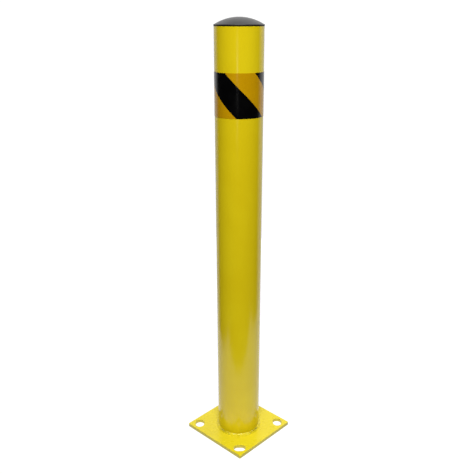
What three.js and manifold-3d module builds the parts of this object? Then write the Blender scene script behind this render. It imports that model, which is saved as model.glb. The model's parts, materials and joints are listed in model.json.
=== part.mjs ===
// Surface-mounted steel safety bollard: a round post welded to a square slotted base plate,
// closed by a lift-off domed cap and wrapped near its top with hazard-striped sheeting.
// Millimetres, +Z up. The origin is the centre of the base plate's underside, and the plate's
// sides run along X and Y.
import * as THREE from 'three';
import { mergeVertices } from 'three/addons/utils/BufferGeometryUtils.js';
import Module from 'manifold-3d';

const wasm = await Module();
wasm.setup();

const INCH = 25.4;
const FULL_TURN = 2 * Math.PI;

// ---- Driving dimensions ----

// Base plate, with an anchor slot near each corner, long across the plate's diagonal
const plateSide = 8 * INCH;
const plateThickness = (3 / 8) * INCH;
const plateCornerRadius = 2.5;
const slotOffset = 78.5; // from the post's axis to a slot's centre, along X and along Y
const slotWidth = 24;
const slotLength = 32;

// Post tube
const postRadius = (4.5 / 2) * INCH;
const postWall = 3.4;
const postLength = 42 * INCH;

// Fillet weld round the post's foot, laid in quarter-turn runs that meet at the middles of the
// plate's sides
const weldRuns = 4;
const weldLeg = 6.5;
const weldCrown = 0.5; // how far the bead's face stands proud of a straight fillet
const weldFaceSteps = 4;
const weldRunGap = 0.6;

// Domed cap: rim on the tube's end, hollow ribbed plug in its bore
const capRimRadius = postRadius + 0.3;
const capRimHeight = 2.8;
const capEdgeRound = 1.2;
const capEdgeSteps = 3;
const capDomeRise = 16;
const capShell = 3;
const domeSteps = 9;
const hollowSteps = 5;
const plugDepth = 32;
const plugWall = 2.6;
const plugClearance = 1.8;
const plugLeadIn = 0.9; // how far the plug's lower edge is tapered in, to start it in the bore
const ribClearance = 0.35;
const ribPitch = 9;
const ribHeight = 2.4;
const ribCrest = 0.72; // flat outer part of a rib, between its two sloping flanks
const ribCount = 3;

// Sheeting wrapped once round the post, its end lapped over its own start at the back
const bandWidth = 99;
const bandBelowPostTop = 97.3;
const sheetThickness = 0.35;
const stripeThickness = 0.2;
const lapFacets = 2;
const wrapStartFacet = -41;

// Black stripes, measured along the wrap from its start. Their edges slant down to the right.
const stripeWidth = 73;
const stripePitch = 144.5;
const stripeRun = 100.5; // how far along the wrap an edge travels from the band's top to its foot
const firstWholeStripe = 78.6;
const stripeIndexes = [-1, 0, 1];
const stripeLapGap = 0.3; // from the lap's edge to the black beside it
const stripeBlockSteps = 16;
const stripeBlockDepth = 16; // a stripe's cutting block passes through the wrap on both sides
const cutterOvershoot = 2; // how far a cutting block reaches past the band's two edges

// Round pieces share their facets, so one lies on another without cutting into it
const facets = 64;
const facetAngle = FULL_TURN / facets;
const fitGap = 0.05;

// ---- Materials ----

const paint = { color: '#e6c619', roughness: 0.3, metalness: 0.0 };
const capBlack = { color: '#2b2c2d', roughness: 0.45, metalness: 0.0 };
const amberSheet = { color: '#c8930c', roughness: 0.35, metalness: 0.0 };
const blackInk = { color: '#08080a', roughness: 0.25, metalness: 0.0 };

// ---- Helpers ----

function named(name, geometry, look) {
  const mesh = new THREE.Mesh(geometry, new THREE.MeshStandardMaterial(look));
  mesh.name = name;
  return mesh;
}

function toSolid(geometry) {
  const bare = geometry.clone();
  bare.deleteAttribute('normal');
  bare.deleteAttribute('uv');
  const merged = mergeVertices(bare, 1e-5);
  return new wasm.Manifold(new wasm.Mesh({
    numProp: 3,
    vertProperties: Float32Array.from(merged.attributes.position.array),
    triVerts: Uint32Array.from(merged.index.array),
  }));
}

function toGeometry(solid) {
  const { vertProperties, triVerts } = solid.getMesh();
  const geometry = new THREE.BufferGeometry();
  geometry.setAttribute('position', new THREE.BufferAttribute(vertProperties, 3));
  geometry.setIndex(new THREE.BufferAttribute(triVerts, 1));
  geometry.computeVertexNormals();
  return geometry;
}

// A (radius, height) outline turned about the Z axis; its outer side is listed going up.
function turned(outline) {
  const points = outline.map(([radius, height]) => new THREE.Vector2(radius, height));
  return new THREE.LatheGeometry(points, facets).rotateX(Math.PI / 2);
}

function extruded(shape, bottom, height) {
  const settings = { depth: height, bevelEnabled: false, curveSegments: 12 };
  return new THREE.ExtrudeGeometry(shape, settings).translate(0, 0, bottom);
}

function atPolar(radius, angle) {
  return new THREE.Vector2(radius * Math.cos(angle), radius * Math.sin(angle));
}

// The two ends of a range, and every facet corner between them.
function facetAngles(from, to) {
  const angles = [from];
  for (let k = Math.floor(from / facetAngle) + 1; k * facetAngle < to - 1e-6; k += 1) {
    if (k * facetAngle > from + 1e-6) angles.push(k * facetAngle);
  }
  return [...angles, to];
}

// A pie slice round the Z axis, tall and wide enough to cut any round piece.
function pieSlice(from, to, bottom, height) {
  const reach = postRadius * 1.5;
  const rim = facetAngles(from, to).map((angle) => atPolar(reach, angle));
  return extruded(new THREE.Shape([new THREE.Vector2(0, 0), ...rim]), bottom, height);
}

// ---- Base plate ----

function slotPath(centreX, centreY) {
  const endRadius = slotWidth / 2;
  const halfStraight = (slotLength - slotWidth) / 2;
  const outward = Math.atan2(centreY, centreX);
  const across = new THREE.Vector2(-Math.sin(outward), Math.cos(outward));
  const path = new THREE.Path();
  for (const side of [1, -1]) {
    const x = centreX + side * halfStraight * across.x;
    const y = centreY + side * halfStraight * across.y;
    const start = outward + (side > 0 ? 0 : Math.PI);
    path.absarc(x, y, endRadius, start, start + Math.PI, false);
  }
  path.closePath();
  return path;
}

function basePlate() {
  const half = plateSide / 2;
  const inner = half - plateCornerRadius;
  const outline = new THREE.Shape();
  const corners = [[inner, inner], [-inner, inner], [-inner, -inner], [inner, -inner]];
  corners.forEach(([x, y], quarter) => {
    const start = (quarter * Math.PI) / 2;
    outline.absarc(x, y, plateCornerRadius, start, start + Math.PI / 2, false);
    outline.holes.push(slotPath(Math.sign(x) * slotOffset, Math.sign(y) * slotOffset));
  });
  outline.closePath();
  return named('base_plate', extruded(outline, 0, plateThickness), paint);
}

// ---- Post ----

const postTop = plateThickness + postLength;
const boreRadius = postRadius - postWall;

function postTube() {
  return named('post_tube', turned([
    [boreRadius, plateThickness],
    [postRadius, plateThickness],
    [postRadius, postTop],
    [boreRadius, postTop],
    [boreRadius, plateThickness],
  ]), paint);
}

// ---- Welds ----

function weldRun(index) {
  const root = postRadius + fitGap;
  const foot = plateThickness + fitGap;
  const face = [];
  for (let i = 0; i <= weldFaceSteps; i += 1) {
    const across = i / weldFaceSteps;
    const crown = weldCrown * Math.sin(Math.PI * across) * Math.SQRT1_2;
    face.push([root + weldLeg * (1 - across) + crown, foot + weldLeg * across + crown]);
  }
  const ring = toSolid(turned([[root, foot], ...face, [root, foot]]));
  const runAngle = FULL_TURN / weldRuns;
  const trim = weldRunGap / 2 / root;
  const slice = pieSlice(
    index * runAngle + trim,
    (index + 1) * runAngle - trim,
    0,
    foot + 2 * weldLeg,
  );
  const bead = ring.intersect(toSolid(slice));
  return named(`weld_run_${index + 1}`, toGeometry(bead), paint);
}

// ---- Cap ----

// Points on a dome of the given rim radius and rise, from its rim to its crown.
function domeArc(rimRadius, rise, rimHeight, steps) {
  const sphere = (rimRadius ** 2 + rise ** 2) / (2 * rise);
  const widest = Math.asin(rimRadius / sphere);
  const points = [];
  for (let i = steps; i >= 0; i -= 1) {
    const lean = (widest * i) / steps;
    const height = rimHeight + rise - sphere * (1 - Math.cos(lean));
    points.push([i === 0 ? 0 : sphere * Math.sin(lean), height]);
  }
  return points;
}

function domeCap() {
  const rimBottom = postTop;
  const rimTop = rimBottom + capRimHeight;
  const plugRadius = boreRadius - plugClearance;
  const ribRadius = boreRadius - ribClearance;
  const plugBottom = rimBottom - plugDepth;
  const hollowRadius = plugRadius - plugWall;

  const flank = (ribHeight - ribCrest) / 2;
  const ribs = [];
  for (let i = 0; i < ribCount; i += 1) {
    const base = plugBottom + ribHeight + i * ribPitch;
    ribs.push(
      [plugRadius, base],
      [ribRadius, base + flank],
      [ribRadius, base + flank + ribCrest],
      [plugRadius, base + ribHeight],
    );
  }

  const edge = [];
  for (let i = 0; i < capEdgeSteps; i += 1) {
    const turn = (Math.PI / 2) * (i / capEdgeSteps);
    edge.push([
      capRimRadius - capEdgeRound * (1 - Math.cos(turn)),
      rimTop - capEdgeRound * (1 - Math.sin(turn)),
    ]);
  }

  const innerDome = domeArc(hollowRadius, capDomeRise - capShell, rimTop - capShell, hollowSteps);
  return named('dome_cap', turned([
    ...innerDome.reverse(),
    [hollowRadius, plugBottom],
    [plugRadius - plugLeadIn, plugBottom],
    ...ribs,
    [plugRadius, rimBottom],
    [capRimRadius, rimBottom],
    ...edge,
    ...domeArc(capRimRadius - capEdgeRound, capDomeRise, rimTop, domeSteps),
  ]), capBlack);
}

// ---- Reflective band and its stripes ----

const bandTop = postTop - bandBelowPostTop;
const bandBottom = bandTop - bandWidth;
const wrapStart = wrapStartFacet * facetAngle;
const wrapEnd = wrapStart + FULL_TURN + lapFacets * facetAngle;
const inkRadius = postRadius + 2 * fitGap + sheetThickness;

// Inner radius of the wrap: just before a full turn it climbs onto its own start.
function wrapRadius(angle) {
  const climbFrom = wrapStart + FULL_TURN - facetAngle;
  const climb = THREE.MathUtils.clamp((angle - climbFrom) / facetAngle, 0, 1);
  return postRadius + fitGap + climb * (sheetThickness + fitGap);
}

function wrapLayer(from, to, lift, thickness) {
  const angles = facetAngles(from, to);
  const inside = angles.map((angle) => atPolar(wrapRadius(angle) + lift, angle));
  const outside = angles.map((angle) => atPolar(wrapRadius(angle) + lift + thickness, angle));
  const shape = new THREE.Shape([...outside, ...inside.reverse()]);
  return extruded(shape, bandBottom, bandWidth);
}

function reflectiveBand() {
  const sheet = wrapLayer(wrapStart, wrapEnd, 0, sheetThickness);
  return named('reflective_band', sheet, amberSheet);
}

// A block bent round the post whose two ends slant: it takes one stripe out of a full layer.
function slantedBlock(leftAtTop) {
  const middle = (bandTop + bandBottom) / 2;
  const tall = bandWidth + 2 * cutterOvershoot;
  const slant = stripeRun / bandWidth;
  const block = new THREE.BoxGeometry(1, 1, 1, stripeBlockSteps, 1, stripeBlockSteps);
  const spots = block.attributes.position;
  for (let i = 0; i < spots.count; i += 1) {
    const height = middle + spots.getZ(i) * tall;
    const along = leftAtTop + (spots.getX(i) + 0.5) * stripeWidth + (bandTop - height) * slant;
    const radius = inkRadius - spots.getY(i) * stripeBlockDepth;
    const spot = atPolar(radius, wrapStart + along / inkRadius);
    spots.setXYZ(i, spot.x, spot.y, height);
  }
  return block;
}

function blackStripe(index, order) {
  const leftAtTop = firstWholeStripe + index * stripePitch;
  const rightAtFoot = leftAtTop + stripeWidth + stripeRun;
  const lapEdge = wrapStart + lapFacets * facetAngle + stripeLapGap / inkRadius;
  const from = Math.max(lapEdge, wrapStart + leftAtTop / inkRadius);
  const to = Math.min(wrapEnd, wrapStart + rightAtFoot / inkRadius);
  const layer = wrapLayer(lapEdge, wrapEnd, sheetThickness + fitGap, stripeThickness);
  const slice = pieSlice(from, to, bandBottom - cutterOvershoot, bandWidth + 2 * cutterOvershoot);
  const stripe = toSolid(layer).intersect(toSolid(slantedBlock(leftAtTop))).intersect(toSolid(slice));
  return named(`black_stripe_${order + 1}`, toGeometry(stripe), blackInk);
}

// ---- Assembly ----

const bollard = new THREE.Group();
bollard.name = 'steel_safety_bollard';
bollard.add(basePlate(), postTube());
for (let run = 0; run < weldRuns; run += 1) bollard.add(weldRun(run));
bollard.add(domeCap(), reflectiveBand());
stripeIndexes.forEach((index, order) => bollard.add(blackStripe(index, order)));

export default bollard;
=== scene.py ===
"""Looks of the steel safety bollard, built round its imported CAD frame. Blender 4.5, metres, +Z up."""

import json
from math import asin, atan2, ceil, cos, pi, radians, sin, sqrt, tau

import bmesh
import bpy
from mathutils import Matrix, Vector


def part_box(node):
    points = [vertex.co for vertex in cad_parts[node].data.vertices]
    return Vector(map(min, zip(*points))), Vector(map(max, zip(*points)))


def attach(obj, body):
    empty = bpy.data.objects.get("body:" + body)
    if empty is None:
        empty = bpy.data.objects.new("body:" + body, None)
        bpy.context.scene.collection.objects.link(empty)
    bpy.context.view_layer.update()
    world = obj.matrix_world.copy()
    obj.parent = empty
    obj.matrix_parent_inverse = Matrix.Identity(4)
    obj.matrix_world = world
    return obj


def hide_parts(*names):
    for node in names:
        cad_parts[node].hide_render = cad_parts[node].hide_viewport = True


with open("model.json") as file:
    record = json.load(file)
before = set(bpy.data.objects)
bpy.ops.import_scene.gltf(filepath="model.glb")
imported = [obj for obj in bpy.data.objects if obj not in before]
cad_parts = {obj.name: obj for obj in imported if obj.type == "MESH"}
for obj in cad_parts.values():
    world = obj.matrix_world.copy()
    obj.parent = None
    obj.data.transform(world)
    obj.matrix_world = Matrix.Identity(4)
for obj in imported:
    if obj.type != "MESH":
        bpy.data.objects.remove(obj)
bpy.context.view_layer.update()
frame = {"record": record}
MM = 0.001

# ---- Sizes read from the frame ----

_, plate_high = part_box("base_plate")
_, post_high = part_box("post_tube")
_, weld_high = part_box("weld_run_1")
cap_low, cap_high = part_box("dome_cap")
band_low, band_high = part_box("reflective_band")

PLATE_HALF = plate_high.x
PLATE_TOP = plate_high.z
POST_RADIUS = post_high.x
POST_TOP = post_high.z
WELD_LEG = weld_high.z - PLATE_TOP
CAP_RADIUS = cap_high.x
BAND_FOOT, BAND_TOP = band_low.z, band_high.z


def opening_centre(name):
    """Middle of one of the record's openings."""
    for opening in frame["record"]["physics"]["openings"]:
        if opening["name"] == name:
            low, high = opening["box_m"]
            return (Vector(low) + Vector(high)) / 2
    raise ValueError(name)


SLOT_OFFSET = opening_centre("anchor_slot_1").x

# ---- Sizes of the real pieces that the frame's boxes don't give ----

PLATE_CORNER = 2.5 * MM
SLOT_WIDTH, SLOT_LENGTH = 24 * MM, 32 * MM
POST_WALL = 3.4 * MM
CAP_RIM_HEIGHT = 2.8 * MM
CAP_SHELL = 3 * MM
# Keeps the rim off the tube's end, so that the two don't share a plane.
RIM_GAP = 0.02 * MM
PLUG_CLEARANCE, PLUG_WALL = 1.8 * MM, 2.6 * MM
RIB_CLEARANCE, RIB_PITCH, RIB_HEIGHT, RIB_COUNT = 0.35 * MM, 9 * MM, 2.4 * MM, 3
FIT_GAP = 0.05 * MM

SHEET = 0.35 * MM
INK = 0.1 * MM
FACET = tau / 64
WRAP_START = -41 * FACET
LAP = 2 * FACET
STRIPE_WIDTH, STRIPE_PITCH, STRIPE_RUN = 73 * MM, 144.5 * MM, 100.5 * MM
FIRST_WHOLE_STRIPE = 78.6 * MM

# ---- The studio: where the camera stands, and directions seen from it ----

CAMERA_POLAR = radians(-46.57)
CAMERA_DISTANCE, CAMERA_HEIGHT = 1.4367, 1.0906
CAMERA_PITCH, CAMERA_YAW, CAMERA_ROLL = radians(21.68), radians(0.182), radians(0.01)
CAMERA_LENS, CAMERA_SHIFT = 45.705, 0.0444

AHEAD = Vector((-cos(CAMERA_POLAR), -sin(CAMERA_POLAR), 0))
RIGHT = Vector((AHEAD.y, -AHEAD.x, 0))


def studio(right, ahead, up):
    """A point given in metres from the post's foot: to the camera's right, away from it, and up."""
    return RIGHT * right + AHEAD * ahead + Vector((0, 0, up))


# ---- Mesh helpers ----

# Degrees that a surface may turn by across an edge that still shades smooth.
SMOOTH_TURN = 35


def new_object(name, mesh):
    piece = bpy.data.objects.new(name, mesh)
    bpy.context.scene.collection.objects.link(piece)
    return piece


def mesh_piece(name, verts, faces, sharp=SMOOTH_TURN):
    """A smooth-shaded piece whose edges stay sharp where the surface turns by more than sharp degrees."""
    mesh = bpy.data.meshes.new(name)
    mesh.from_pydata(verts, [], faces)
    mesh.validate()
    finish_mesh(mesh, sharp)
    return new_object(name, mesh)


def finish_mesh(mesh, sharp):
    work = bmesh.new()
    work.from_mesh(mesh)
    bmesh.ops.remove_doubles(work, verts=work.verts, dist=1e-7)
    bmesh.ops.recalc_face_normals(work, faces=work.faces)
    work.to_mesh(mesh)
    work.free()
    mesh.shade_smooth()
    mesh.set_sharp_from_angle(angle=radians(sharp))
    mesh.update()


def flat_shading_weight(piece):
    """Lets the large flat faces keep flat shading beside their rounded edges."""
    weight = piece.modifiers.new("weighted_normals", "WEIGHTED_NORMAL")
    weight.keep_sharp = True
    weight.weight = 90


def rounded(points, radii, steps=5, closed=False):
    """A polyline with the corners named in radii, {index: radius}, turned into arcs."""
    result = []
    count = len(points)
    for index, (x, y) in enumerate(points):
        radius = radii.get(index, 0)
        at_end = not closed and index in (0, count - 1)
        if not radius or at_end:
            result.append((x, y))
            continue
        corner = Vector((x, y))
        before = (Vector(points[index - 1]) - corner).normalized()
        after = (Vector(points[(index + 1) % count]) - corner).normalized()
        half = before.angle(after) / 2
        reach = radius * cos(half) / sin(half)
        centre = corner + (before + after).normalized() * radius / sin(half)
        first = corner + before * reach - centre
        last = corner + after * reach - centre
        turn = first.angle(last)
        if first.x * last.y - first.y * last.x < 0:
            turn = -turn
        for step in range(steps + 1):
            angle = turn * step / steps
            spoke = Matrix.Rotation(angle, 2) @ first
            result.append(tuple(centre + spoke))
    return result


def lathe(name, outline, segments=192):
    """A closed piece turned about Z from a (radius, height) outline that starts and ends on the axis,
    or closes on itself."""
    on_axis = outline[0][0] < 1e-9
    verts, rings = [], []
    for radius, height in outline:
        if radius < 1e-9:
            rings.append([len(verts)] * segments)
            verts.append((0, 0, height))
            continue
        rings.append([len(verts) + k for k in range(segments)])
        verts += [
            (radius * cos(tau * k / segments), radius * sin(tau * k / segments), height)
            for k in range(segments)
        ]
    pairs = list(zip(rings, rings[1:]))
    if not on_axis:
        pairs.append((rings[-1], rings[0]))
    faces = []
    for low, high in pairs:
        for k in range(segments):
            after = (k + 1) % segments
            corners = [low[k], low[after], high[after], high[k]]
            face = [c for i, c in enumerate(corners) if c not in corners[:i]]
            if len(face) > 2:
                faces.append(face)
    return mesh_piece(name, verts, faces)


# ---- Base plate ----


def plate_outline():
    inner = PLATE_HALF - PLATE_CORNER
    points = []
    for quarter, (sx, sy) in enumerate([(1, 1), (-1, 1), (-1, -1), (1, -1)]):
        for step in range(9):
            angle = pi / 2 * (quarter + step / 8)
            points.append(Vector((
                sx * inner + PLATE_CORNER * cos(angle),
                sy * inner + PLATE_CORNER * sin(angle),
            )))
    return points


def slot_outline(sx, sy):
    radius, straight = SLOT_WIDTH / 2, (SLOT_LENGTH - SLOT_WIDTH) / 2
    centre = Vector((sx * SLOT_OFFSET, sy * SLOT_OFFSET))
    outward = atan2(sy, sx)
    across = Vector((-sin(outward), cos(outward)))
    points = []
    for side in (1, -1):
        start = outward + (0 if side > 0 else pi)
        for step in range(25):
            angle = start + pi * step / 24
            points.append(centre + across * straight * side + Vector((cos(angle), sin(angle))) * radius)
    return points


def outward_normals(loop):
    """Unit normals of a counter-clockwise loop of points, pointing out of it."""
    normals = []
    for index in range(len(loop)):
        along = (loop[(index + 1) % len(loop)] - loop[index - 1]).normalized()
        normals.append(Vector((along.y, -along.x)))
    return normals


def rounded_slab(name, outline, holes, bottom, top, edge, steps=4):
    """A flat plate with holes, whose top and bottom edges are rounded by edge."""
    work = bmesh.new()
    section = [(edge * (1 - sin(pi / 2 * k / steps)), bottom + edge * (1 - cos(pi / 2 * k / steps)))
               for k in range(steps + 1)]
    section += [(inset, bottom + top - height) for inset, height in reversed(section)]
    rims = {bottom: [], top: []}
    for loop, into in [(outline, -1)] + [(hole, 1) for hole in holes]:
        normals = outward_normals(loop)
        rings = []
        for inset, height in section:
            spots = [p + n * into * inset for p, n in zip(loop, normals)]
            rings.append([work.verts.new((*spot, height)) for spot in spots])
        for low, high in zip(rings, rings[1:]):
            for k in range(len(loop)):
                after = (k + 1) % len(loop)
                work.faces.new((low[k], low[after], high[after], high[k]))
        for height, ring in ((bottom, rings[0]), (top, rings[-1])):
            for k in range(len(loop)):
                rims[height].append(work.edges.get((ring[k], ring[(k + 1) % len(loop)])))
    for rim in rims.values():
        bmesh.ops.triangle_fill(work, edges=rim, use_beauty=True)
    mesh = bpy.data.meshes.new(name)
    work.to_mesh(mesh)
    work.free()
    finish_mesh(mesh, SMOOTH_TURN)
    piece = new_object(name, mesh)
    flat_shading_weight(piece)
    return piece


def base_plate():
    slots = [slot_outline(sx, sy) for sx in (1, -1) for sy in (1, -1)]
    return rounded_slab("plate_body", plate_outline(), slots, 0, PLATE_TOP, 0.7 * MM)


# ---- Post ----


def post_shell():
    bore = POST_RADIUS - POST_WALL
    corners = [(bore, PLATE_TOP), (POST_RADIUS, PLATE_TOP), (POST_RADIUS, POST_TOP), (bore, POST_TOP)]
    outline = rounded(corners, {2: 0.4 * MM, 3: 0.4 * MM}, closed=True)
    return lathe("post_shell", outline)


# ---- Welds ----


def weld_bead(index):
    """One quarter-turn run of fillet weld: ripples, and where runs meet a doubled bead with a groove
    along it."""
    steps, across = 260, 16
    run = pi / 2
    start = index * run
    ripple_pitch = 4.6 * MM
    overlap = radians(1.2)
    verts, faces = [], []
    for i in range(steps + 1):
        part = i / steps
        angle = start - overlap + part * (run + 2 * overlap)
        travelled = angle * POST_RADIUS
        wander = 0.28 * MM * sin(17 * angle + 2.3 * index) + 0.18 * MM * sin(41 * angle + index)
        swell = 0.7 * MM * max(0, 1 - part / 0.05) - 0.9 * MM * max(0, (part - 0.96) / 0.04)
        restart = cos(2 * angle) ** 4
        leg = WELD_LEG - 1.2 * MM + wander + swell + 0.4 * MM * restart
        coarse = 0.3 * MM + 0.4 * MM * max(0, sin(5 * angle + 1.9 * index)) ** 2
        root = (POST_RADIUS - 0.4 * MM, PLATE_TOP - 0.3 * MM)
        verts.append((root[0] * cos(angle), root[0] * sin(angle), root[1]))
        for j in range(across + 1):
            share = j / across
            bulge = sin(pi * share)
            lag = 2.2 * MM * (2 * share - 1) ** 2
            ripple = coarse * bulge * abs(sin(pi * (travelled + lag) / ripple_pitch))
            groove = 2.3 * MM * restart * max(0, 1 - ((share - 0.5) / 0.24) ** 2)
            crown = (0.9 * MM * bulge + ripple - groove) * sqrt(0.5)
            radius = POST_RADIUS - 0.2 * MM + (leg + 0.2 * MM) * (1 - share) + crown
            height = PLATE_TOP - 0.15 * MM + (leg + 0.15 * MM) * share + crown
            verts.append((radius * cos(angle), radius * sin(angle), height))
    ring = across + 2
    for i in range(steps):
        for j in range(ring):
            after = (j + 1) % ring
            a, b = i * ring + j, i * ring + after
            faces.append((a, b, b + ring, a + ring))
    faces.append(tuple(range(ring)))
    faces.append(tuple(steps * ring + j for j in range(ring)))
    return mesh_piece(f"weld_bead_{index + 1}", verts, faces, sharp=60)


# ---- Cap ----


def dome_arc(rim, rise, rim_height, steps):
    """(radius, height) points on a dome, from its rim up to its crown on the axis."""
    sphere = (rim ** 2 + rise ** 2) / (2 * rise)
    widest = asin(rim / sphere)
    points = []
    for k in range(steps, -1, -1):
        lean = widest * k / steps
        radius = sphere * sin(lean) if k else 0
        points.append((radius, rim_height + rise - sphere * (1 - cos(lean))))
    return points


def dome_cap():
    """A moulded cap: shallow dome with a rounded rim, and a hollow plug with three soft ribs."""
    bore = POST_RADIUS - POST_WALL
    plug, rib = bore - PLUG_CLEARANCE, bore - RIB_CLEARANCE
    hollow = plug - PLUG_WALL
    rim_top = POST_TOP + CAP_RIM_HEIGHT
    rise = cap_high.z - rim_top
    outline = dome_arc(hollow, rise - CAP_SHELL, rim_top - CAP_SHELL, 16)[::-1]
    lip = rounded([(hollow, rim_top - CAP_SHELL), (hollow, cap_low.z), (plug, cap_low.z),
                   (plug, cap_low.z + RIB_HEIGHT)], {1: 0.7 * MM, 2: 0.9 * MM}, steps=3)
    outline += lip[1:-1]
    for k in range(RIB_COUNT):
        base = cap_low.z + RIB_HEIGHT + k * RIB_PITCH
        corners = [(plug, base - 1 * MM), (plug, base), (rib, base + RIB_HEIGHT * 0.35),
                   (rib, base + RIB_HEIGHT * 0.65), (plug, base + RIB_HEIGHT),
                   (plug, base + RIB_HEIGHT + 1 * MM)]
        outline += rounded(corners, {1: 0.3 * MM, 2: 0.3 * MM, 3: 0.3 * MM, 4: 0.3 * MM}, steps=2)[1:-1]
    edge_start = CAP_RADIUS - 1.1 * MM
    seat = POST_TOP + RIM_GAP
    rim = rounded([(plug, seat), (CAP_RADIUS, seat), (CAP_RADIUS, rim_top),
                   (edge_start - 6 * MM, rim_top + 4.1 * MM)], {1: 0.2 * MM, 2: 1.2 * MM})
    outline += rim[:-1]
    outline += dome_arc(edge_start, rise - 0.35 * MM, rim_top + 0.35 * MM, 40)[1:]
    return lathe("cap_moulding", outline, segments=224)


# ---- Reflective band ----


def wrap_radius(angle):
    """Inner radius of the wrapped sheet: just before a full turn it climbs onto its own start."""
    climb_from = WRAP_START + tau - FACET
    climb = min(1, max(0, (angle - climb_from) / FACET))
    climb = climb * climb * (3 - 2 * climb)
    return POST_RADIUS + FIT_GAP + climb * (SHEET + FIT_GAP)


INK_RADIUS = POST_RADIUS + 2 * FIT_GAP + SHEET


def clipped(polygon, low, high):
    """A convex polygon of (along, height) points, cut to low <= along <= high."""
    for limit, keep in ((low, 1), (high, -1)):
        kept = []
        for here, there in zip(polygon, polygon[1:] + polygon[:1]):
            inside, inside_next = ((p[0] - limit) * keep >= 0 for p in (here, there))
            if inside:
                kept.append(here)
            if inside != inside_next:
                part = (limit - here[0]) / (there[0] - here[0])
                kept.append((limit, here[1] + part * (there[1] - here[1])))
        polygon = kept
    return polygon


def bent_film(name, polygon, lift, thickness, step=1.0 * MM):
    """A thin film cut to a polygon of (along the wrap, height) points and wrapped round the post."""
    work = bmesh.new()
    work.faces.new([work.verts.new((along, height, 0)) for along, height in polygon])
    low = min(p[0] for p in polygon)
    high = max(p[0] for p in polygon)
    count = ceil((high - low) / step)
    for k in range(1, count):
        geometry = work.verts[:] + work.edges[:] + work.faces[:]
        cut = (low + (high - low) * k / count, 0, 0)
        bmesh.ops.bisect_plane(work, geom=geometry, plane_co=cut, plane_no=(1, 0, 0))
    grown = bmesh.ops.extrude_face_region(work, geom=work.faces[:])
    for vert in (part for part in grown["geom"] if isinstance(part, bmesh.types.BMVert)):
        vert.co.z = thickness
    for vert in work.verts:
        angle = WRAP_START + vert.co.x / INK_RADIUS
        radius = wrap_radius(angle) + lift + vert.co.z
        vert.co = (radius * cos(angle), radius * sin(angle), vert.co.y)
    mesh = bpy.data.meshes.new(name)
    work.to_mesh(mesh)
    work.free()
    finish_mesh(mesh, SMOOTH_TURN)
    return new_object(name, mesh)


def band_sheet():
    length = (tau + LAP) * INK_RADIUS
    corners = [(0, BAND_FOOT), (length, BAND_FOOT), (length, BAND_TOP), (0, BAND_TOP)]
    return bent_film("band_sheet", rounded(corners, dict.fromkeys(range(4), 1.5 * MM), 4, True), 0, SHEET)


def stripe_film(index, order):
    left = FIRST_WHOLE_STRIPE + index * STRIPE_PITCH
    right = left + STRIPE_WIDTH
    corners = [(left, BAND_TOP), (left + STRIPE_RUN, BAND_FOOT), (right + STRIPE_RUN, BAND_FOOT),
               (right, BAND_TOP)]
    visible_from = LAP * INK_RADIUS + 0.3 * MM
    visible_to = (tau + LAP) * INK_RADIUS
    outline = clipped(corners, visible_from, visible_to)
    return bent_film(f"stripe_film_{order + 1}", outline, SHEET, INK)


# ---- Materials ----


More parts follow.
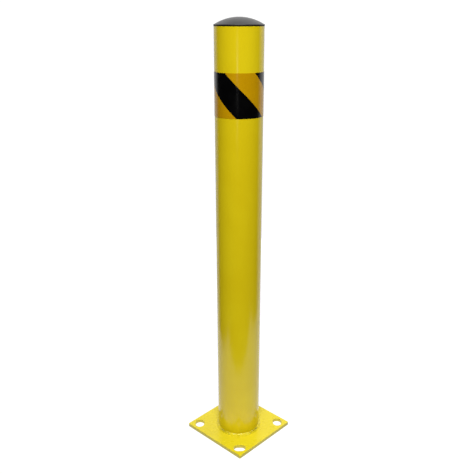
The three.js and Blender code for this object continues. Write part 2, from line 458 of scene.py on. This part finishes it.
class Nodes:
    """A material's node tree, with short calls for the nodes used here."""

    def __init__(self, name):
        self.material = bpy.data.materials.new(name)
        self.material.use_nodes = True
        self.tree = self.material.node_tree
        self.shader = self.tree.nodes["Principled BSDF"]
        coords = self.tree.nodes.new("ShaderNodeTexCoord")
        self.place = coords.outputs["Object"]

    def link(self, source, target):
        self.tree.links.new(source, target)

    def fill(self, socket, value):
        if isinstance(value, bpy.types.NodeSocket):
            self.link(value, socket)
        else:
            socket.default_value = value

    def noise(self, scale, detail=2.0, rough=0.5, place=None):
        node = self.tree.nodes.new("ShaderNodeTexNoise")
        node.inputs["Scale"].default_value = scale
        node.inputs["Detail"].default_value = detail
        node.inputs["Roughness"].default_value = rough
        self.link(place or self.place, node.inputs["Vector"])
        return node.outputs["Fac"]

    def cells(self, scale):
        node = self.tree.nodes.new("ShaderNodeTexVoronoi")
        node.inputs["Scale"].default_value = scale
        self.link(self.place, node.inputs["Vector"])
        return node.outputs["Distance"]

    def stretched(self, x, y, z):
        node = self.tree.nodes.new("ShaderNodeMapping")
        node.inputs["Scale"].default_value = (x, y, z)
        self.link(self.place, node.inputs["Vector"])
        return node.outputs["Vector"]

    def axis(self, name):
        node = self.tree.nodes.new("ShaderNodeSeparateXYZ")
        self.link(self.place, node.inputs[0])
        return node.outputs[name]

    def math(self, operation, first, second=0.0):
        node = self.tree.nodes.new("ShaderNodeMath")
        node.operation = operation
        self.fill(node.inputs[0], first)
        self.fill(node.inputs[1], second)
        return node.outputs[0]

    def square(self, value):
        return self.math("MULTIPLY", value, value)

    def distance(self, first, second):
        """Length of the flat vector (first, second)."""
        return self.math("SQRT", self.math("ADD", self.square(first), self.square(second)))

    def ramp(self, value, low, high, to_low=0.0, to_high=1.0):
        node = self.tree.nodes.new("ShaderNodeMapRange")
        node.interpolation_type = "SMOOTHSTEP"
        self.fill(node.inputs["Value"], value)
        for key, number in zip(("From Min", "From Max", "To Min", "To Max"), (low, high, to_low, to_high)):
            node.inputs[key].default_value = number
        return node.outputs["Result"]

    def mix(self, share, first, second):
        node = self.tree.nodes.new("ShaderNodeMix")
        node.data_type = "RGBA"
        self.fill(node.inputs["Factor"], share)
        self.fill(node.inputs[6], first if isinstance(first, bpy.types.NodeSocket) else (*first, 1))
        self.fill(node.inputs[7], second if isinstance(second, bpy.types.NodeSocket) else (*second, 1))
        return node.outputs[2]

    def bump(self, height, distance, strength=1.0, under=None):
        node = self.tree.nodes.new("ShaderNodeBump")
        node.inputs["Strength"].default_value = strength
        node.inputs["Distance"].default_value = distance
        self.link(height, node.inputs["Height"])
        if under:
            self.link(under, node.inputs["Normal"])
        return node.outputs["Normal"]

    def set(self, **sockets):
        for name, value in sockets.items():
            self.fill(self.shader.inputs[name.replace("_", " ")], value)
        return self.material


YELLOW = (0.80, 0.625, 0.008)
YELLOW_DEEP = (0.77, 0.587, 0.006)
LEMON = (0.79, 0.657, 0.017)
LEMON_DEEP = (0.766, 0.627, 0.014)
FOOT_SHADE_YELLOW = (0.66, 0.52, 0.003)
WELD_PIT_SHADE = (0.42, 0.35, 0.004)
EDGE_SHADE_OLIVE = (0.34, 0.29, 0.045)
BARE_STEEL = (0.22, 0.21, 0.20)
DARK_STEEL = (0.09, 0.085, 0.08)
JOINT_SHADE = (0.03, 0.018, 0.006)

CAP_DARK, CAP_LIGHT = (0.022, 0.022, 0.023), (0.030, 0.030, 0.031)
CAP_SCRATCH = (0.045, 0.046, 0.048)
CAP_RIM_SHADE = (0.004, 0.0035, 0.0035)
AMBER, AMBER_DEEP = (0.70, 0.385, 0.001), (0.65, 0.343, 0.001)
BEAD_SHADE = (0.40, 0.19, 0.002)
INK_DARK, INK_LIGHT = (0.0008, 0.0008, 0.001), (0.0018, 0.0018, 0.002)


def paint_layers(nodes, deep=YELLOW_DEEP, light=YELLOW):
    """Colour, roughness and normal of the powder coat: orange peel, slight mottling, faint scuffs."""
    cloud = nodes.ramp(nodes.noise(9, 3), 0.35, 0.65)
    colour = nodes.mix(cloud, deep, light)
    scuffs = nodes.noise(60, 4, 0.7, nodes.stretched(1, 1, 0.12))
    scuff = nodes.ramp(scuffs, 0.66, 0.78, 0.0, 0.08)
    roughness = nodes.math("ADD", scuff, nodes.ramp(nodes.noise(40, 2), 0.3, 0.7, 0.16, 0.20))
    peel = nodes.bump(nodes.noise(330, 2, 0.45), 0.06 * MM, 0.35)
    normal = nodes.bump(nodes.noise(1900, 1, 0.4), 0.008 * MM, 0.5, under=peel)
    return colour, roughness, normal


def weld_paint():
    """The coat over the weld, with bumpy, pitted patches near the tube where two runs meet, darkened by
    painted shade.
    """
    nodes = Nodes("weld_powder_coat")
    colour, roughness, normal = paint_layers(nodes, LEMON_DEEP, LEMON)
    x, y = nodes.axis("X"), nodes.axis("Y")
    split = nodes.math("SUBTRACT", nodes.square(x), nodes.square(y))
    reach = (POST_RADIUS + 2 * MM) ** 2
    restart = nodes.ramp(nodes.math("ABSOLUTE", split), 0.72 * reach, 0.93 * reach)
    lumps = nodes.noise(190, 2, 0.6)
    upper = nodes.ramp(nodes.axis("Z"), PLATE_TOP + 1 * MM, PLATE_TOP + 2.6 * MM)
    pit_shade_zone = nodes.math("MULTIPLY", restart, upper)
    # Painted shade: the pitted patches near the tube, where two runs meet, are darkened in colour.
    pit_shade = nodes.math("MULTIPLY", pit_shade_zone, nodes.ramp(lumps, 0.4, 0.54, 0.0, 0.9))
    colour = nodes.mix(pit_shade, colour, WELD_PIT_SHADE)
    normal = nodes.bump(nodes.math("MULTIPLY", restart, lumps), 1 * MM, under=normal)
    roughness = nodes.math("ADD", roughness, 0.02)
    return nodes.set(Base_Color=colour, Roughness=roughness, Normal=normal, IOR=1.6)


def slot_walls(nodes, across, along):
    """1 on the walls of the slots and 0 elsewhere, by the distance from a slot's straight middle line."""
    off_x = nodes.math("SUBTRACT", across, SLOT_OFFSET)
    off_y = nodes.math("SUBTRACT", along, SLOT_OFFSET)
    outward = nodes.math("MULTIPLY", nodes.math("ADD", off_x, off_y), sqrt(0.5))
    sideways = nodes.math("MULTIPLY", nodes.math("SUBTRACT", off_x, off_y), sqrt(0.5))
    past_middle = nodes.math("SUBTRACT", nodes.math("ABSOLUTE", sideways), (SLOT_LENGTH - SLOT_WIDTH) / 2)
    beside = nodes.math("MAXIMUM", past_middle, 0.0)
    away = nodes.distance(outward, beside)
    return nodes.ramp(away, SLOT_WIDTH / 2 + 0.8 * MM, SLOT_WIDTH / 2 + 0.1 * MM)


def plate_paint():
    """The plate's coat, a paler yellow: painted shade on the outer edge and the slots' walls, and a little
    worn along the outer edge."""
    nodes = Nodes("plate_powder_coat")
    colour, roughness, normal = paint_layers(nodes, LEMON_DEEP, LEMON)
    across = nodes.math("ABSOLUTE", nodes.axis("X"))
    along = nodes.math("ABSOLUTE", nodes.axis("Y"))
    edge = nodes.ramp(nodes.math("MAXIMUM", across, along), PLATE_HALF - 0.8 * MM, PLATE_HALF - 0.1 * MM)
    # Painted shade: the outer edge and the slots' walls are darkened to an olive yellow.
    slot_wall_shade = nodes.math("MULTIPLY", slot_walls(nodes, across, along), 0.6)
    edge_shade = nodes.math("MAXIMUM", edge, slot_wall_shade)
    chips = nodes.ramp(nodes.noise(260, 5, 0.65), 0.60, 0.66)
    worn = nodes.math("MULTIPLY", edge, chips)
    colour = nodes.mix(nodes.math("MULTIPLY", edge_shade, 0.42), colour, EDGE_SHADE_OLIVE)
    colour = nodes.mix(worn, colour, BARE_STEEL)
    roughness = nodes.math("ADD", roughness, 0.1)
    return nodes.set(Base_Color=colour, Roughness=roughness, Normal=normal, IOR=1.5)


def post_paint():
    """The tube's coat: painted shade at the foot and in the joint under the cap, and fading to dark steel
    inside."""
    nodes = Nodes("post_powder_coat")
    colour, roughness, normal = paint_layers(nodes)
    radius = nodes.distance(nodes.axis("X"), nodes.axis("Y"))
    bore = POST_RADIUS - POST_WALL
    inside = nodes.ramp(radius, bore + 0.8 * MM, bore + 0.2 * MM)
    grain = nodes.noise(220, 4, 0.7)
    depth = nodes.math("ADD", nodes.axis("Z"), nodes.math("MULTIPLY", grain, 0.03))
    bare = nodes.math("MULTIPLY", inside, nodes.ramp(depth, POST_TOP + 5 * MM, POST_TOP - 25 * MM))
    steel = nodes.mix(nodes.ramp(grain, 0.4, 0.6), DARK_STEEL, BARE_STEEL)
    colour = nodes.mix(bare, colour, steel)
    rough = nodes.math("ADD", roughness, nodes.math("MULTIPLY", bare, 0.3))
    metal = nodes.math("MULTIPLY", bare, 0.8)
    # Painted shade: a dark line on the tube's top end, in the joint under the cap's rim.
    seam = nodes.ramp(nodes.axis("Z"), POST_TOP - 1.3 * MM, POST_TOP - 0.6 * MM, 0.0, 0.9)
    colour = nodes.mix(seam, colour, JOINT_SHADE)
    # Painted shade: the tube darkens towards its foot, over the weld and plate.
    foot = nodes.ramp(nodes.axis("Z"), PLATE_TOP + 32 * MM, PLATE_TOP + 6 * MM)
    colour = nodes.mix(foot, colour, FOOT_SHADE_YELLOW)
    return nodes.set(Base_Color=colour, Roughness=rough, Metallic=metal, Normal=normal, IOR=1.5)


def cap_plastic():
    """Dark moulded plastic with a fine spark-eroded grain, faint scratches, and painted shade on its rim.
    """
    nodes = Nodes("cap_plastic")
    colour = nodes.mix(nodes.ramp(nodes.noise(30, 3), 0.3, 0.7), CAP_DARK, CAP_LIGHT)
    scratches = nodes.ramp(nodes.noise(90, 5, 0.75, nodes.stretched(1, 0.08, 1)), 0.62, 0.7)
    colour = nodes.mix(nodes.math("MULTIPLY", scratches, 0.25), colour, CAP_SCRATCH)
    rim_top = POST_TOP + CAP_RIM_HEIGHT
    # Painted shade: the rim below its rounded top edge is darkened to near black.
    seam = nodes.ramp(nodes.axis("Z"), rim_top + 0.2 * MM, rim_top - 0.6 * MM)
    colour = nodes.mix(seam, colour, CAP_RIM_SHADE)
    roughness = nodes.ramp(nodes.noise(140, 2), 0.3, 0.7, 0.30, 0.36)
    roughness = nodes.math("ADD", roughness, nodes.math("MULTIPLY", seam, 0.35))
    grain = nodes.bump(nodes.noise(1500, 2, 0.6), 0.02 * MM, 0.4)
    return nodes.set(Base_Color=colour, Roughness=roughness, Normal=grain, IOR=1.58)


def amber_sheeting():
    """Amber reflective sheeting: glossy film over a fine layer of glass beads."""
    nodes = Nodes("amber_sheeting")
    beads = nodes.cells(1400)
    mottle = nodes.ramp(nodes.noise(25, 3), 0.3, 0.7)
    colour = nodes.mix(mottle, AMBER, AMBER_DEEP)
    colour = nodes.mix(nodes.ramp(beads, 0.2, 0.7, 0.0, 0.35), colour, BEAD_SHADE)
    roughness = nodes.ramp(nodes.noise(300, 2), 0.3, 0.7, 0.17, 0.23)
    normal = nodes.bump(beads, 0.01 * MM, 0.4)
    return nodes.set(Base_Color=colour, Roughness=roughness, Normal=normal, IOR=1.5)


def black_film():
    """Glossy black print, slightly uneven, over the same beads."""
    nodes = Nodes("black_film")
    colour = nodes.mix(nodes.ramp(nodes.noise(45, 3), 0.3, 0.7), INK_DARK, INK_LIGHT)
    roughness = nodes.ramp(nodes.noise(120, 3), 0.3, 0.7, 0.16, 0.24)
    normal = nodes.bump(nodes.cells(1400), 0.008 * MM, 0.4)
    return nodes.set(Base_Color=colour, Roughness=roughness, Normal=normal, IOR=1.5)


# ---- Stage: floor, light and camera ----


def plain_floor():
    """A white sheet: 1.36 m wide, ending a little in front of the post."""
    left, right, near, far = -0.59, 0.77, -0.43, 1.6
    corners = [studio(left, near, 0), studio(right, near, 0), studio(right, far, 0), studio(left, far, 0)]
    mesh = bpy.data.meshes.new("floor")
    mesh.from_pydata(corners, [], [(0, 1, 2, 3)])
    floor = new_object("floor", mesh)
    nodes = Nodes("white_paper")
    path = nodes.tree.nodes.new("ShaderNodeLightPath")
    glow = nodes.ramp(path.outputs["Is Diffuse Ray"], 0, 1, 1.0, 0.6)
    nodes.set(Base_Color=(0.08, 0.08, 0.08, 1), Roughness=0.9,
              Emission_Color=(1, 1, 1, 1), Emission_Strength=glow)
    mesh.materials.append(nodes.material)


def surroundings():
    """White wherever the camera looks. For light, a white backdrop behind the post and dimness in front."""
    world = bpy.data.worlds.new("studio")
    bpy.context.scene.world = world
    world.use_nodes = True
    tree = world.node_tree
    tree.nodes.clear()
    add = tree.nodes.new
    coords, facing = add("ShaderNodeTexCoord"), add("ShaderNodeVectorMath")
    backdrop, path = add("ShaderNodeMapRange"), add("ShaderNodeLightPath")
    light, white = add("ShaderNodeBackground"), add("ShaderNodeBackground")
    facing.operation = "DOT_PRODUCT"
    facing.inputs[1].default_value = (AHEAD + RIGHT * 0.1).normalized()
    tree.links.new(coords.outputs["Generated"], facing.inputs[0])
    backdrop.interpolation_type = "SMOOTHSTEP"
    for key, number in {"From Min": 0.25, "From Max": 0.6, "To Min": 0.01, "To Max": 0.9}.items():
        backdrop.inputs[key].default_value = number
    tree.links.new(facing.outputs["Value"], backdrop.inputs["Value"])
    dimmed = add("ShaderNodeMapRange")
    dimmed.inputs["To Min"].default_value, dimmed.inputs["To Max"].default_value = 1, 0.55
    strength = add("ShaderNodeMath")
    strength.operation = "MULTIPLY"
    tree.links.new(path.outputs["Is Diffuse Ray"], dimmed.inputs["Value"])
    tree.links.new(backdrop.outputs["Result"], strength.inputs[0])
    tree.links.new(dimmed.outputs["Result"], strength.inputs[1])
    tree.links.new(strength.outputs[0], light.inputs["Strength"])
    white.inputs["Strength"].default_value = 1.05
    choose, out = add("ShaderNodeMixShader"), add("ShaderNodeOutputWorld")
    tree.links.new(path.outputs["Is Camera Ray"], choose.inputs[0])
    tree.links.new(light.outputs[0], choose.inputs[1])
    tree.links.new(white.outputs[0], choose.inputs[2])
    tree.links.new(choose.outputs[0], out.inputs["Surface"])
    for background in (light, white):
        background.inputs["Color"].default_value = (1, 1, 1, 1)


def softbox(name, place, target, width, height, watts, mirrored=True):
    """A rectangular light; one that isn't mirrored lights surfaces but shows in no reflection or view."""
    light = bpy.data.lights.new(name, "AREA")
    light.shape = "RECTANGLE"
    light.size, light.size_y = width, height
    light.energy = watts
    lamp = bpy.data.objects.new(name, light)
    bpy.context.scene.collection.objects.link(lamp)
    lamp.location = place
    lamp.rotation_euler = (target - place).to_track_quat("-Z", "Y").to_euler()
    lamp.visible_glossy = lamp.visible_camera = mirrored


def lights():
    middle = studio(0, 0, 0.55)
    softbox("key_softbox", studio(0.03, -2.2, 3.6), middle, 1.0, 0.4, 34)
    softbox("key_fill", studio(0.03, -2.8, 3.35), middle, 2.0, 1.5, 112, mirrored=False)
    softbox("back_fill", studio(0, 2.2, 0.35), studio(0, 0, 0.45), 0.8, 0.5, 20, mirrored=False)
    softbox("overhead_softbox", studio(0.3, -0.5, 8), middle, 6, 3.2, 257)
    softbox("strip_light", studio(-0.36, -2.6, 1.06), middle, 0.08, 0.58, 0.8)


def camera():
    data = bpy.data.cameras.new("camera")
    data.sensor_width = 36
    data.lens = CAMERA_LENS
    data.shift_y = CAMERA_SHIFT
    data.clip_start, data.clip_end = 0.05, 50
    eye = bpy.data.objects.new("camera", data)
    bpy.context.scene.collection.objects.link(eye)
    turn = Matrix.Rotation(CAMERA_YAW, 3, "Z")
    forward = turn @ (AHEAD * cos(CAMERA_PITCH) - Vector((0, 0, sin(CAMERA_PITCH))))
    side = turn @ RIGHT
    up = side.cross(forward)
    roll_cos, roll_sin = cos(CAMERA_ROLL), sin(CAMERA_ROLL)
    side, up = side * roll_cos + up * roll_sin, up * roll_cos - side * roll_sin
    axes = Matrix((side, up, -forward)).transposed().to_4x4()
    eye.matrix_world = Matrix.Translation(studio(0, -CAMERA_DISTANCE, CAMERA_HEIGHT)) @ axes
    bpy.context.scene.camera = eye


# ---- Assembly ----


def dress(piece, node, body, material):
    piece.data.materials.append(material)
    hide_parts(node)
    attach(piece, body)


def build():
    coat = weld_paint()
    dress(base_plate(), "base_plate", "post", plate_paint())
    dress(post_shell(), "post_tube", "post", post_paint())
    for index in range(4):
        dress(weld_bead(index), f"weld_run_{index + 1}", "post", coat)
    dress(dome_cap(), "dome_cap", "cap", cap_plastic())
    dress(band_sheet(), "reflective_band", "post", amber_sheeting())
    ink = black_film()
    for order, index in enumerate((-1, 0, 1)):
        dress(stripe_film(index, order), f"black_stripe_{order + 1}", "post", ink)


bpy.context.scene.view_settings.view_transform = "Standard"
camera()
plain_floor()
surroundings()
lights()
build()
